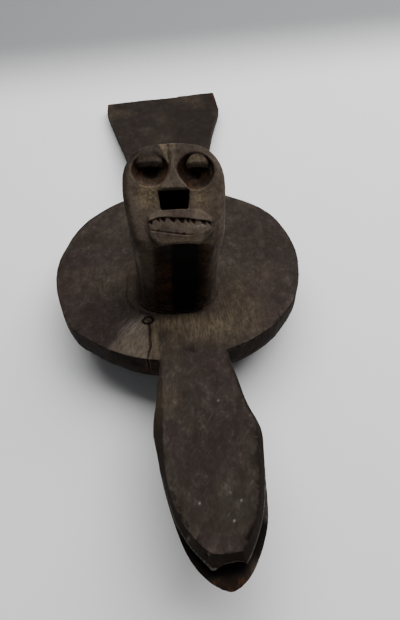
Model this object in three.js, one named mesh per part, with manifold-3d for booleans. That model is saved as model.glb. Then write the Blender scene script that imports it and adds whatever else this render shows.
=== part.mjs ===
// A horizontal mask carved from one block of wood: a round plate with a head standing on it, a bill
// with two jaws in front, a flared tail board behind, and a collar below that sits on the wearer's head.
// It lies as it does on a table: the collar's slanted rim and the tail's end touch the ground.
import * as THREE from 'three';
import { mergeVertices } from 'three/addons/utils/BufferGeometryUtils.js';
import Module from 'manifold-3d';

const wasm = await Module();
wasm.setup();

const DEG = Math.PI / 180;
const { lerp, smoothstep } = THREE.MathUtils;

// Driving dimensions in millimetres and degrees. The carving has its own frame: x to the right,
// y towards the tail, z up from the plate's top face, and x = 0 on the line of bill and tail.
const restTilt = 7; // the bill points up by this much when the mask lies on the ground
const plateCentreX = -4.8;
const plateRadius = 111.6;
const plateThickness = 27;
const plateTopEdge = 1.2; // worn top edge
const plateLowEdge = 3.5; // rounded lower edge
const plateSides = 72;
// Where the plate's edge was cut fuller or flatter: direction, half-width in degrees, share of the radius.
const plateBulges = [
  [-147, 10, 0.03],
  [-40, 22, 0.013],
  [-88, 16, -0.012],
  [27, 9, 0.01],
  [53, 8, -0.016],
  [159, 7, -0.008],
];

const billRoot = { y: -92, right: 24, left: -27.5 };
const billFlare = { right: 33, rightY: -152, left: -34, leftY: -142 };
const billWidest = { right: 39, rightY: -175, left: -37.5, leftY: -167 };
const billHalf = -195; // from this y on the jaws narrow towards their tips
const upperTip = { y: -256, right: 14, left: -7 };
const upperJawLeft = [[-34, -198], [-27, -227], [-16, -246]];
const upperJawRight = [[22, -246], [31, -228], [37, -201]];
const lowerTip = { x: 3, y: -266.5 };
const lowerJawLeft = [[-34, -200], [-24.6, -238], [-9.5, -258.5]];
const lowerJawRight = [[13, -262], [27, -243], [37, -206]];
const upperBevel = { root: 1.2, tip: 6.5, dropRoot: 1.5, dropTip: 7 };
const lowerBevel = { root: 3, tip: 7, rise: 5 };
const jawSplit = { z: -11, y: -188, gap: 5.5, endY: -275 };
const billUnderside = -23;

const tailNeck = { y: 92, right: 25, left: -30 };
const tailBend = { rightY: 176, right: 47, leftY: 178, left: -48 };
const tailFlare = { rightY: 275, right: 74.8, leftY: 293, left: -71.5 };
const tailEnd = { right: 323, left: 318, cornerCut: 3.5 };
const tailThickness = { neck: 16, end: 12.4 };

const headFoot = new THREE.Vector3(-7.6, -40, 0);
const headLean = 3.4; // towards the right
const headTurn = -1.4;
const faceSlope = 46;
const faceFoot = { y: -27, z: 74 }; // where the face's plane meets the front of the neck
const chinCut = { y: -23.5, z: 77.6, slope: 68 }; // takes the edge off below the mouth
const headTop = 134;
const headSides = 44;

const socketRadius = 12.9;
const socketCentres = [new THREE.Vector3(-16.6, 57, 3.2), new THREE.Vector3(14.6, 54.9, 3.2)];
const eyeballs = [
  { at: new THREE.Vector3(-16.4, 60.6, -6), r: 8.2 },
  { at: new THREE.Vector3(17, 58.4, -6), r: 7.6 },
];
const pupils = [new THREE.Vector2(-15.6, 54), new THREE.Vector2(17.8, 51.8)];
const pupilRadius = 6;
const pupilDepth = 9;

const nostril = { left: -11, right: 9.5, low: 29, high: 41.6, depth: 16 };
const mouthTurn = -4; // the mouth runs down to the right
const mouthX = 2.3;
const mouthHalf = 22;
const lipRise = 5;
const teethCount = 8;
const toothGap = 1.6;

const collarOuter = 83;
const collarWall = 13;
const collarFlare = 3;
const hollowTop = -11; // what is left of the plate above the hollow
const hollowSides = 56;
const floorReach = 700;

// The ground in the carving's frame: the tail's lower end edge lies on it.
const originHeight = tailEnd.right * Math.sin(restTilt * DEG)
  + (tailThickness.end - 1) * Math.cos(restTilt * DEG);
// Where the carving's frame stands, so that the middle of the mask's length and width is the origin.
const carvingAt = { x: 4.77, y: -26.88 };

// Solids

function solid(geometry, matrix) {
  const bare = geometry.clone();
  for (const name of Object.keys(bare.attributes)) if (name !== 'position') bare.deleteAttribute(name);
  if (matrix) bare.applyMatrix4(matrix);
  const merged = mergeVertices(bare, 1e-4);
  return new wasm.Manifold(new wasm.Mesh({
    numProp: 3,
    vertProperties: new Float32Array(merged.attributes.position.array),
    triVerts: new Uint32Array(merged.index.array),
  }));
}

// A closed skin through rings of equal length, each counter-clockwise seen from the last one's side.
// Both ends are closed with the same triangles, worked out on the widest ring's plan.
function loft(rings, plan = (p) => [p.x, p.y]) {
  const count = rings[0].length;
  const positions = rings.flat().flatMap((p) => [p.x, p.y, p.z]);
  const index = [];
  for (let r = 0; r + 1 < rings.length; r += 1) {
    for (let i = 0; i < count; i += 1) {
      const a = r * count + i;
      const b = r * count + ((i + 1) % count);
      index.push(a, b, b + count, a, b + count, a + count);
    }
  }
  const flat = rings[1].map((p) => new THREE.Vector2(...plan(p)));
  const last = (rings.length - 1) * count;
  for (const [a, b, c] of THREE.ShapeUtils.triangulateShape(flat, [])) {
    const anticlockwise = THREE.ShapeUtils.area([flat[a], flat[b], flat[c]]) > 0;
    const [p, q] = anticlockwise ? [b, c] : [c, b];
    index.push(last + a, last + p, last + q, a, q, p);
  }
  const geometry = new THREE.BufferGeometry();
  geometry.setAttribute('position', new THREE.Float32BufferAttribute(positions, 3));
  geometry.setIndex(index);
  return geometry;
}

// Moves each point of a counter-clockwise outline inwards by its own distance.
function inset(outline, distance) {
  const count = outline.length;
  return outline.map((p, i) => {
    const before = outline[(i + count - 1) % count];
    const after = outline[(i + 1) % count];
    const along = new THREE.Vector2().subVectors(after, before).normalize();
    const d = typeof distance === 'function' ? distance(p) : distance;
    return new THREE.Vector2(p.x - along.y * d, p.y + along.x * d);
  });
}

function level(outline, z) {
  return outline.map((p) => new THREE.Vector3(p.x, p.y, typeof z === 'function' ? z(p) : z));
}

function box(left, right, low, high, bottom, top, matrix) {
  const geometry = new THREE.BoxGeometry(right - left, high - low, top - bottom);
  geometry.translate((left + right) / 2, (low + high) / 2, (bottom + top) / 2);
  return solid(geometry, matrix);
}

// The plate

function plateEdge(angle) {
  let share = 1;
  for (const [at, width, amount] of plateBulges) {
    const away = (((angle / DEG - at + 540) % 360) - 180) / width;
    share += amount * Math.exp(-away * away);
  }
  const r = plateRadius * share;
  return new THREE.Vector2(plateCentreX + r * Math.cos(angle), r * Math.sin(angle));
}

function makePlate() {
  const edge = Array.from({ length: plateSides }, (_, i) => plateEdge((i / plateSides) * 2 * Math.PI));
  return solid(loft([
    level(inset(edge, plateLowEdge), -plateThickness),
    level(inset(edge, plateLowEdge * 0.25), -plateThickness + plateLowEdge * 0.8),
    level(edge, -plateThickness * 0.55),
    level(edge, -plateTopEdge),
    level(inset(edge, plateTopEdge), 0),
  ]));
}

// The bill

function jawOutline(drawTip) {
  const shape = new THREE.Shape();
  shape.moveTo(billRoot.right, billRoot.y);
  shape.lineTo(billRoot.left, billRoot.y);
  shape.lineTo(billFlare.left, billFlare.leftY);
  shape.lineTo(billWidest.left, billWidest.leftY);
  drawTip(shape);
  shape.lineTo(billFlare.right, billFlare.rightY);
  const points = shape.getPoints(5);
  return THREE.ShapeUtils.area(points) > 0 ? points : points.reverse();
}

const points2 = (list) => list.map(([x, y]) => new THREE.Vector2(x, y));

function makeBill() {
  const upper = jawOutline((shape) => {
    shape.splineThru(points2([...upperJawLeft, [upperTip.left, upperTip.y]]));
    shape.lineTo(upperTip.right, upperTip.y);
    shape.splineThru(points2([...upperJawRight, [billWidest.right, billWidest.rightY]]));
  });
  const lower = jawOutline((shape) => {
    shape.splineThru(points2([...lowerJawLeft, [lowerTip.x, lowerTip.y]]));
    shape.splineThru(points2([...lowerJawRight, [billWidest.right, billWidest.rightY]]));
  });
  const toTip = (p) => smoothstep(-p.y, -billHalf, -upperTip.y);
  const topBevel = (p) => lerp(upperBevel.root, upperBevel.tip, toTip(p));
  const lowBevel = (p) => lerp(lowerBevel.root, lowerBevel.tip, toTip(p));
  const upperJaw = solid(loft([
    level(upper, jawSplit.z),
    level(upper, (p) => -lerp(upperBevel.dropRoot, upperBevel.dropTip, toTip(p))),
    level(inset(upper, topBevel), 0),
  ]));
  const lowerJaw = solid(loft([
    level(inset(lower, lowBevel), billUnderside),
    level(lower, billUnderside + lowerBevel.rise),
    level(lower, jawSplit.z),
  ]));
  const slit = new THREE.Shape(points2([
    [jawSplit.y, jawSplit.z],
    [jawSplit.endY, jawSplit.z - jawSplit.gap * 0.75],
    [jawSplit.endY, jawSplit.z + jawSplit.gap * 0.25],
  ]));
  // The slit's outline is drawn in y and z, so its extrusion is turned to run along x.
  const turn = new THREE.Matrix4().makeBasis(
    new THREE.Vector3(0, 1, 0), new THREE.Vector3(0, 0, 1), new THREE.Vector3(1, 0, 0),
  ).setPosition(-60, 0, 0);
  const cut = solid(new THREE.ExtrudeGeometry(slit, { depth: 120, bevelEnabled: false }), turn);
  return upperJaw.add(lowerJaw).subtract(cut);
}

// The tail

function makeTail() {
  const { cornerCut } = tailEnd;
  const outline = points2([
    [tailNeck.left, tailNeck.y],
    [tailNeck.right, tailNeck.y],
    [tailBend.right, tailBend.rightY],
    [tailFlare.right, tailFlare.rightY],
    [tailFlare.right, tailEnd.right],
    [tailFlare.left + cornerCut, tailEnd.left],
    [tailFlare.left, tailEnd.left - 3 * cornerCut],
    [tailFlare.left, tailFlare.leftY],
    [tailBend.left, tailBend.leftY],
  ]);
  const along = (p) => (p.y - tailNeck.y) / (tailEnd.right - tailNeck.y);
  const under = (p) => -lerp(tailThickness.neck, tailThickness.end, along(p));
  return solid(loft([
    level(inset(outline, 1.5), under),
    level(outline, (p) => under(p) + 2),
    level(outline, -1),
    level(inset(outline, 1), 0),
  ]));
}

// The head

const headMatrix = new THREE.Matrix4().setPosition(headFoot)
  .multiply(new THREE.Matrix4().makeRotationZ(headTurn * DEG))
  .multiply(new THREE.Matrix4().makeRotationY(headLean * DEG));
// On the face x runs across, y up the slope and z out of it.
const faceMatrix = headMatrix.clone()
  .multiply(new THREE.Matrix4().makeTranslation(0, faceFoot.y, faceFoot.z))
  .multiply(new THREE.Matrix4().makeRotationX(faceSlope * DEG));
const chinMatrix = headMatrix.clone()
  .multiply(new THREE.Matrix4().makeTranslation(0, chinCut.y, chinCut.z))
  .multiply(new THREE.Matrix4().makeRotationX(chinCut.slope * DEG));
const mouthMatrix = faceMatrix.clone()
  .multiply(new THREE.Matrix4().makeTranslation(mouthX, 0, 0))
  .multiply(new THREE.Matrix4().makeRotationZ(mouthTurn * DEG));

// Levels of the head above the plate's top: half-width, front, back, and how square the front is to the
// left and to the right, and the back. The back swells out above the neck and slopes up to the crown.
const headLevels = [
  { z: -3, half: 44, front: -28, back: 58, square: [2.4, 2.4, 2.4] },
  { z: 0, half: 41.5, front: -27, back: 55, square: [2.4, 2.4, 2.4] },
  { z: 2, half: 37.8, front: -26, back: 50.5, square: [2.4, 2.4, 2.4] },
  { z: 5, half: 35.4, front: -25.3, back: 46, square: [2.4, 2.4, 2.4] },
  { z: 10, half: 34.1, front: -25, back: 42.5, square: [2.4, 2.4, 2.5] },
  { z: 20, half: 33.9, front: -24.8, back: 38.6, square: [2.4, 2.4, 2.6] },
  { z: 45, half: 34.3, front: -24.6, back: 36.4, square: [2.6, 2.6, 2.7] },
  { z: 62, half: 34.7, front: -25, back: 38.5, square: [3.2, 3.4, 2.7] },
  { z: 76, half: 35.1, front: -25.9, back: 42.5, square: [4.4, 5.2, 2.6] },
  { z: 84, half: 35.6, front: -26.5, back: 44, square: [3.4, 3.8, 2.5] },
  { z: 93, half: 36.3, front: -27, back: 44.3, square: [2.6, 2.5, 2.5] },
  { z: 101, half: 36.6, mid: -0.3, front: -27, back: 43, square: [2.4, 2.3, 2.4] },
  { z: 108, half: 36.5, mid: -0.3, front: -27, back: 39.5, square: [2.3, 2.3, 2.3] },
  { z: headTop, half: 33, mid: -1.2, front: -27, back: 19.5, square: [2.3, 2.3, 2.2] },
];
const headWaist = 5; // the widest place of every level, in y
const throat = { x: 1.5, y: -72.4, z: 44, radius: 50, stretch: 1.6 }; // hollowed under the chin

function headRing({ z, half, mid = 0, front, back, square }) {
  const [frontLeft, frontRight, behind] = square;
  return Array.from({ length: headSides }, (_, i) => {
    const angle = (i / headSides) * 2 * Math.PI;
    const c = Math.cos(angle);
    const s = Math.sin(angle);
    const inFront = c < 0 ? frontLeft : frontRight;
    const power = 2 / (s < 0 ? inFront : behind);
    const depth = s < 0 ? headWaist - front : back - headWaist;
    return new THREE.Vector3(
      mid + half * Math.sign(c) * Math.abs(c) ** power,
      headWaist + depth * Math.sign(s) * Math.abs(s) ** power,
      z,
    );
  });
}

function makeNose() {
  const ring = ({ y, left, right, rise }) => {
    const flat = (right - left) * 0.28;
    const side = rise * 0.35;
    const section = [
      [left, -3], [right, -3], [right, side], [right - flat, rise], [left + flat, rise], [left, side],
    ];
    return section.map(([x, z]) => new THREE.Vector3(x, y, z));
  };
  const stations = [
    { y: 73.6, left: -4.4, right: 2.8, rise: 0.6 },
    { y: 58, left: -4, right: 2.2, rise: 2.4 },
    { y: 50, left: -6.6, right: 5, rise: 4.2 },
    { y: 41.5, left: -11.6, right: 10.8, rise: 6.4 },
  ];
  return solid(loft(stations.map(ring), (p) => [p.x, p.z]), faceMatrix);
}

// A lip is a profile in y and z that fades towards the corners of the mouth.
function makeLip(profile) {
  const stations = [-1, -0.8, -0.4, 0, 0.4, 0.8, 1];
  const rings = stations.map((u) => profile(u * u).map(([y, z]) => new THREE.Vector3(u * mouthHalf, y, z)));
  return solid(loft(rings, (p) => [p.y, p.z]), mouthMatrix);
}

function makeFaceForms() {
  const upperLip = makeLip((bend) => {
    const rise = lerp(lipRise, lipRise * 0.45, bend);
    return [
      [20.4 - bend, -4], [31, -4], [30.5 - 3 * bend, 0.2], [22.5 - bend, rise], [20.4 - bend, rise - 0.3],
    ];
  });
  const lowerLip = makeLip((bend) => {
    const rise = lerp(lipRise, lipRise * 0.5, bend);
    const chin = lerp(0.6, 5.4, bend);
    return [
      [chin - 1.5, -5], [18 - bend, -5], [18 - bend, rise * 0.5], [12.6, rise * 0.62],
      [12.2, rise], [chin + 1.5, rise + 0.4], [chin, rise - 1],
    ];
  });
  let forms = makeNose().add(upperLip).add(lowerLip);
  const pitch = (2 * (mouthHalf - 2)) / teethCount;
  for (let i = 0; i < teethCount; i += 1) {
    const x = -mouthHalf + 2 + i * pitch;
    forms = forms.add(box(x, x + pitch - toothGap, 18.6, 21, -4, lipRise * 0.55, mouthMatrix));
  }
  return forms;
}

function ball(at, r, matrix) {
  const geometry = new THREE.SphereGeometry(r, 28, 18);
  geometry.translate(at.x, at.y, at.z);
  return solid(geometry, matrix);
}

function pupil(at) {
  const geometry = new THREE.CylinderGeometry(pupilRadius, pupilRadius * 0.8, pupilDepth + 4, 16);
  geometry.rotateX(Math.PI / 2);
  geometry.translate(at.x, at.y, pupilDepth * 0.5 - socketRadius - 1);
  return solid(geometry, faceMatrix);
}

function makeHead() {
  const column = solid(loft(headLevels.map(headRing)), headMatrix);
  const away = 90; // reaches past the head on every side
  const above = box(-away, away, -away, 2 * away, 0, 2 * away, faceMatrix);
  const chin = box(-away, away, -away, away, 0, away, chinMatrix);
  const scoop = new THREE.SphereGeometry(throat.radius, 28, 20);
  scoop.scale(1, 1, throat.stretch);
  scoop.translate(throat.x, throat.y, throat.z);
  let head = column.subtract(solid(scoop, headMatrix)).subtract(above).subtract(chin);
  for (const at of socketCentres) head = head.subtract(ball(at, socketRadius, faceMatrix));
  for (const eye of eyeballs) head = head.add(ball(eye.at, eye.r, faceMatrix));
  head = head.add(makeFaceForms());
  for (const at of pupils) head = head.subtract(pupil(at));
  const { left, right, low, high, depth } = nostril;
  return head.subtract(box(left, right, low, high, -depth, 20, faceMatrix));
}

// The collar and the hollow in it

function roundLevel(radius, z) {
  return Array.from({ length: hollowSides }, (_, i) => {
    const angle = (i / hollowSides) * 2 * Math.PI;
    return new THREE.Vector3(plateCentreX + radius * Math.cos(angle), radius * Math.sin(angle), z);
  });
}

function makeCollar() {
  return solid(loft([
    roundLevel(collarOuter - collarFlare, -90),
    roundLevel(collarOuter, -plateThickness - 4),
    roundLevel(collarOuter + collarFlare, -plateThickness),
    roundLevel(collarOuter + collarFlare, -plateThickness + 4),
  ]));
}

function makeHollow() {
  const inner = collarOuter - collarWall;
  return solid(loft([
    roundLevel(inner - 1, -100),
    roundLevel(inner, -plateThickness - 8),
    roundLevel(inner * 0.96, -plateThickness),
    roundLevel(inner * 0.82, hollowTop - 5),
    roundLevel(inner * 0.55, hollowTop),
  ]));
}

// The whole mask, lying on the ground

const lying = new THREE.Matrix4().makeTranslation(carvingAt.x, carvingAt.y, originHeight)
  .multiply(new THREE.Matrix4().makeRotationX(-restTilt * DEG));

function makeMask() {
  const carved = makePlate().add(makeCollar()).subtract(makeHollow())
    .add(makeBill()).add(makeTail()).add(makeHead());
  const mesh = carved.getMesh();
  const geometry = new THREE.BufferGeometry();
  geometry.setAttribute('position', new THREE.Float32BufferAttribute(mesh.vertProperties, 3));
  geometry.setIndex([...mesh.triVerts]);
  const aboveGround = solid(geometry, lying)
    .subtract(box(-floorReach, floorReach, -floorReach, floorReach, -floorReach, 0));
  return aboveGround.getMesh();
}

function meshGeometry({ vertProperties, triVerts }) {
  const geometry = new THREE.BufferGeometry();
  geometry.setAttribute('position', new THREE.BufferAttribute(vertProperties, 3));
  geometry.setIndex(new THREE.BufferAttribute(triVerts, 1));
  geometry.computeVertexNormals();
  return geometry;
}

const darkWood = new THREE.MeshStandardMaterial({ color: 0x3a322c, roughness: 0.75, metalness: 0 });

const mask = new THREE.Mesh(meshGeometry(makeMask()), darkWood);
mask.name = 'mask';

const object = new THREE.Group();
object.add(mask);

export default object;
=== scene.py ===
"""A horizontal mask carved from one block of dark wood, lying on a pale floor: a round plate with a head
standing on it, a bill with two jaws in front, a flared tail behind and a hollow collar below."""

import math

import bpy
import numpy as np
from mathutils import Matrix, Vector


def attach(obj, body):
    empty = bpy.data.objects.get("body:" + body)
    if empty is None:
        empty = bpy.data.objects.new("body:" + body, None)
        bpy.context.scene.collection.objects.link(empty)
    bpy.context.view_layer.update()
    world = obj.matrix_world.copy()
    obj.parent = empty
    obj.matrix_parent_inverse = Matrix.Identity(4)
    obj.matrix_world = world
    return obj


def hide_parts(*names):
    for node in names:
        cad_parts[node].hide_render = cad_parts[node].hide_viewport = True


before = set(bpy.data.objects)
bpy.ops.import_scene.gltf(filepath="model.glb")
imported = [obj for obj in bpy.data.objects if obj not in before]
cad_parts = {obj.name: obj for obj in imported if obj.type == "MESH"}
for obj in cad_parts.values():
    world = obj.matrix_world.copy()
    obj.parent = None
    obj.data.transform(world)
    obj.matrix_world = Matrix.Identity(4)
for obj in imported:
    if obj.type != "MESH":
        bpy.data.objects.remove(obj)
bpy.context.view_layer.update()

# Sizes in millimetres and degrees, in the carving's own frame: x to the right, y towards the tail,
# z up from the plate's top face, and x = 0 on the line of bill and tail.
MM = 0.001
REST_TILT = math.radians(7.0)
TILT_COS = math.cos(REST_TILT)
TILT_SIN = math.sin(REST_TILT)
PLATE_X = -4.8
PLATE_RADIUS = 111.6
PLATE_THICKNESS = 27.0
# Where the plate's edge was cut fuller or flatter: direction, half-width, share of the radius.
PLATE_BULGES = (
    (-147, 10, 0.030), (-40, 22, 0.013), (-88, 16, -0.012), (27, 9, 0.010),
    (-30, 6, 0.005), (53, 8, -0.016), (159, 7, -0.008),
)
COLLAR_OUTER = 83.0
COLLAR_INNER = 70.0
HOLLOW_TOP = -11.0

TAIL_THICKNESS = (16.0, 12.4)
TAIL_END_Y = 323.0
GROUND_Z = TAIL_END_Y * TILT_SIN + (TAIL_THICKNESS[1] - 1.0) * TILT_COS
CARVING_AT = np.array((4.77, -26.88, GROUND_Z))

JAW_SPLIT_Z = -11.0
JAW_SPLIT_Y = -188.0
UPPER_TIP_Y = -256.0
LOWER_TIP_Y = -266.5
BILL_UNDERSIDE = -23.0

HEAD_FOOT = np.array((-7.6, -40.0, 0.0))
HEAD_LEAN = math.radians(3.4)
HEAD_TURN = math.radians(-1.4)
FACE_SLOPE = math.radians(46.0)
FACE_FOOT = np.array((0.0, -27.0, 74.0))
HEAD_WAIST = 5.0
# Height above the plate, half-width, shift to the right, front, back, and the squareness of the front to
# the left and to the right, and of the back.
HEAD_LEVELS = np.array((
    (-3, 44.5, 0, -27.5, 60, 2.4, 2.4, 2.4),
    (-0.5, 43.6, 0, -27, 58.5, 2.4, 2.4, 2.4),
    (0, 42, 0, -26.6, 57, 2.4, 2.4, 2.4),
    (0.4, 40, 0, -26.3, 55, 2.4, 2.4, 2.4),
    (1.2, 38.2, 0, -26, 52.5, 2.4, 2.4, 2.4),
    (2.6, 36.6, 0, -25.6, 49.5, 2.4, 2.4, 2.4),
    (5, 35.2, 0, -25.3, 46, 2.4, 2.4, 2.4),
    (10, 34.1, 0, -25, 42.4, 2.4, 2.4, 2.5),
    (20, 33.9, 0, -24.8, 38.6, 2.4, 2.4, 2.6),
    (45, 34.3, 0, -24.6, 36.4, 2.6, 2.6, 2.7),
    (62, 34.7, 0, -25, 38.5, 3.2, 3.4, 2.7),
    (76, 35.1, 0, -25.9, 42.5, 4.4, 5.2, 2.6),
    (84, 35.6, 0, -26.5, 44, 3.4, 3.8, 2.5),
    (93, 36.3, -0.1, -27, 44.3, 2.6, 2.5, 2.5),
    (101, 36.6, -0.3, -27, 43, 2.4, 2.3, 2.4),
    (108, 36.5, -0.3, -27, 39.5, 2.3, 2.3, 2.3),
    (134, 33, -1.2, -27, 19.5, 2.3, 2.3, 2.2),
))
# Directions of the upright edges between the flat cuts of the neck, under the chin and at the foot, and
# how flat the cuts are.
NECK_EDGES = (
    (-2, -2), (22, 20), (48, 50), (75, 72), (100, 104), (128, 125), (155, 158), (178, 176), (197, 195),
    (217, 212), (243, 233), (292, 298), (306, 310), (321, 322), (339, 340), (358, 358),
)
NECK_FLATNESS = 0.85

# The face's own places: x to the right, s up the sloping face from its foot. An oval is its centre and two
# radii, and a lid is the middle of its lower edge, its half-width, its rise and its height.
SOCKETS = ((-16.6, 56.4, 13.6, 11.7), (15.1, 54.5, 13.8, 13))
SOCKET_DEPTH = 7.8
LIDS = ((-16.8, 59.4, 9.8, 14, 0), (16.9, 57.8, 8.4, 8.9, -0.7))
EYE_HOLES = ((-16.2, 55.4, 5.6, 4.6), (15.6, 53, 3.8, 3.2))
EYE_HOLE_DEPTH = 2
# Curves as stations and values: the ridge's left and right edge and its height by s, and the mouth by x.
RIDGE_LEFT = ((41.5, 45.1, 50.1, 57.5, 63, 80), (-11.4, -10.4, -6.6, -3.6, -3.1, -3.1))
RIDGE_RIGHT = ((41.5, 44.4, 50.3, 57.3, 63, 80), (10.5, 8.7, 4.5, 1.8, 2.1, 2.5))
RIDGE_RISE = ((41.5, 50, 58, 70, 80), (7, 5.2, 3.3, 0.9, 0))
LIP_TOP = ((-19, -14, -10.5, -4.6, 2.6, 7.8, 15, 21.4, 25),
           (25.5, 27.6, 28.6, 29.3, 29.3, 28.9, 27.6, 24.6, 21.5))
LIP_EDGE = ((-20, -16, -11.4, -5.6, 0.2, 6.1, 13.9, 21.1, 25),
            (20.6, 22.2, 23.2, 23, 22.3, 21.9, 20.4, 19.4, 18.2))
SLIT = ((-20, -17.9, -13.3, -7.5, -1, 6.8, 13.4, 18.8, 24),
        (15.6, 14.8, 13.8, 12.8, 11.7, 10.6, 11, 12.4, 14.5))
LIP_FOOT = ((-20, -17.5, -13.6, -9.2, -2.8, 3.7, 10.4, 15.8, 20.6, 24.5),
            (11, 8, 4.8, 3, 2.3, 2, 2.5, 4.2, 7.4, 11.2))
MOUTH_LEFT = -20
MOUTH_RIGHT = 25
# Where the dark notches between the teeth start under the upper lip, and how wide each is.
NOTCHES = ((-18.9, 2.8), (-13.6, 2.2), (-10.2, 3.6), (-3.6, 4.4), (2.5, 4.6), (6.9, 2.6), (10.9, 3),
           (18.2, 3.8), (22.6, 2.8))
NOTCH_LENGTH = 3.6
# The nostril's sides at its top, and how far each has moved at its foot.
NOSTRIL_TOP = 42.2
NOSTRIL_FOOT = 28.7
NOSTRIL_LEFT = (-11.9, 1.2)
NOSTRIL_RIGHT = (10.4, -2)
NOSTRIL_DEPTH = 17
BROW_CUT_RIGHT = -3

# Marks of the blade, as width and length: on the flat tops, round the rim, up the neck and on the face.
ADZE_MARK = (12, 24)
RIM_MARK = (15, 17)
NECK_MARK = (5.5, 26)
FACE_MARK = (6, 9)
RIM_MM_PER_DEGREE = 1.95
NECK_MM_PER_DEGREE = 0.6
GOUGE_STEP = 2.7

KNOT = (-35, -67, 4, 3.2)
CRACK = ((-34.5, -71), (-33.6, -78), (-34.6, -86), (-34.2, -93), (-36.4, -101), (-38.2, -109))
CHIP = (-10, -249, 1.3, 1.3)
# Where the plate's dark skin has been scraped off, and pale nicks on the bill.
SCRAPED_PATCH = ((-66, -88), (-68, -94), (-55, -102), (-36, -108), (-35.5, -72), (-40, -61), (-54, -75))
NICKS = ((-10, -219), (10, -214), (16, -220), (10, -231), (-19, -237), (12, -149), (-8, -247.5))

# Soft patches, each an oval and its strength: the first three on the face, the others seen from above.
# The left cheek's patch is stronger than the right's: bare wood on both, with painted light on the left
# cheek, which the lamp on the right leaves darker.
FACE_TAN = ((-19, 37, 8, 8, 0.9), (18, 35, 7, 8, 0.65), (-17, 43, 7, 2.5, 0.6), (9, 16, 6, 2.5, 0.3),
            (3, 6, 18, 3, 0.4))
CHEEK_HOLLOWS = ((-20, 36, 7, 8, 0.9), (18, 34, 6, 8, 0.9))
CHEEK_RED = ((-19, 38, 8, 7, 0.45), (18, 36, 7, 7, 0.45))
PLATE_TAN = ((-30.3, -89, 2.6, 17, 0.5), (-16, -71, 15, 8, 0.7), (42, -60, 24, 34, 0.2))
TAIL_RED = ((76, 312, 7, 22, 1), (-73, 312, 7, 9, 0.7))
# What the wood's colours, painted shade and painted light among them, are mixed by, from 0 to 1 at each
# point.
MASKS = ("dust", "tan", "red", "soot_and_painted_shade", "worn", "hollow", "handled_and_painted_light", "painted_shade_and_dark_tone", "scraped_and_painted_highlight")

VOXEL = 0.6
MOST_TRIANGLES = 190000

# The photograph's viewing angle, in the carving's frame.
VIEW_PLACE = (-9.30, -313.7, 299.9)
VIEW_YAW = math.radians(4.2)
VIEW_PITCH = math.radians(50)
VIEW_ROLL = math.radians(3.55)
FOCUS_PIXELS = 466
HEIGHT_PIXELS = 620

# The studio, in metres and watts.
FLOOR_REACH = 3
FLOOR_BACK = 0.80
SWEEP_FROM = 0.82
SWEEP_RADIUS = 0.16
# Painted shade greys the paper from the first of these distances back to the second.
PAPER_SHADE_SPAN = (0.30, 0.50)
SURROUND_STRENGTH = 0.13
PANEL_PLACE = (0.30, 0.75, 1.25)
PANEL_AIM = (0, 0.10, 0)
PANEL_SIZE = (2.4, 1.7)
PANEL_POWER = 73


# Curves and noise as whole arrays

def smooth(edge0, edge1, x):
    """Rises from 0 at edge0 to 1 at edge1 as 3t² - 2t³."""
    t = ramp(edge0, edge1, x)
    return t * t * (3.0 - 2.0 * t)


def ramp(edge0, edge1, x):
    """Rises in a straight line from 0 at edge0 to 1 at edge1."""
    return np.clip((x - edge0) / (edge1 - edge0), 0.0, 1.0)


def spot(x, y, cx, cy, rx, ry):
    """A soft oval patch: 1 at its centre and 1/e at radii rx and ry."""
    return np.exp(-((x - cx) / rx) ** 2 - ((y - cy) / ry) ** 2)


def spots(x, y, patches):
    """The sum of soft oval patches, each with its own strength."""
    return sum(strength * spot(x, y, *oval) for *oval, strength in patches)


def oval_distance(x, y, oval):
    """How far a place lies from an oval's centre: 1 on the oval itself."""
    cx, cy, rx, ry = oval
    return np.sqrt(((x - cx) / rx) ** 2 + ((y - cy) / ry) ** 2)


def between(x, a, b, c, d):
    """Rises from 0 at a to 1 at b, and falls from 1 at c to 0 at d."""
    return smooth(a, b, x) * smooth(d, c, x)


def through(x, stations, values):
    """A smooth curve through stations: cubic pieces, each station's slope taken from its neighbours."""
    stations = np.asarray(stations, float)
    values = np.asarray(values, float)
    slope = np.gradient(values, stations)
    i = np.clip(np.searchsorted(stations, x) - 1, 0, len(stations) - 2)
    width = stations[i + 1] - stations[i]
    t = np.clip((x - stations[i]) / width, 0.0, 1.0)
    return ((2 * t**3 - 3 * t**2 + 1) * values[i] + (t**3 - 2 * t**2 + t) * width * slope[i]
            + (3 * t**2 - 2 * t**3) * values[i + 1] + (t**3 - t**2) * width * slope[i + 1])


def path(points, per_span=16):
    """Points along a smooth curve through the given points, per_span of them between each two."""
    points = np.asarray(points, float)
    stations = np.arange(len(points))
    t = np.linspace(0, len(points) - 1, (len(points) - 1) * per_span + 1)
    return np.stack([through(t, stations, points[:, k]) for k in range(points.shape[1])], axis=1)


def cell_number(ix, iy, iz, seed):
    """A repeatable number from 0 to 1 for each whole-number cell: products folded with exclusive or."""
    h = (ix * 374761393 + iy * 668265263 + iz * 1440662683 + seed * 974634777) & 0xFFFFFFFF
    h = ((h ^ (h >> 13)) * 1274126177) & 0xFFFFFFFF
    h = ((h ^ (h >> 16)) * 668265263) & 0xFFFFFFFF
    return ((h ^ (h >> 15)) & 0xFFFF) / 65535.0


def noise(p, size, seed):
    """Noise from -1 to 1: a number at each corner of a lattice of the given cell size, blended between."""
    q = p / np.asarray(size, float)
    cell = np.floor(q).astype(np.int64)
    t = q - cell
    t = t * t * (3 - 2 * t)
    total = np.zeros(len(p))
    for corner in range(8):
        bits = np.array((corner & 1, corner >> 1 & 1, corner >> 2))
        weight = np.prod(np.where(bits == 1, t, 1 - t), axis=1)
        at = cell + bits
        total += weight * cell_number(at[:, 0], at[:, 1], at[:, 2], seed)
    return 2 * total - 1


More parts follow.
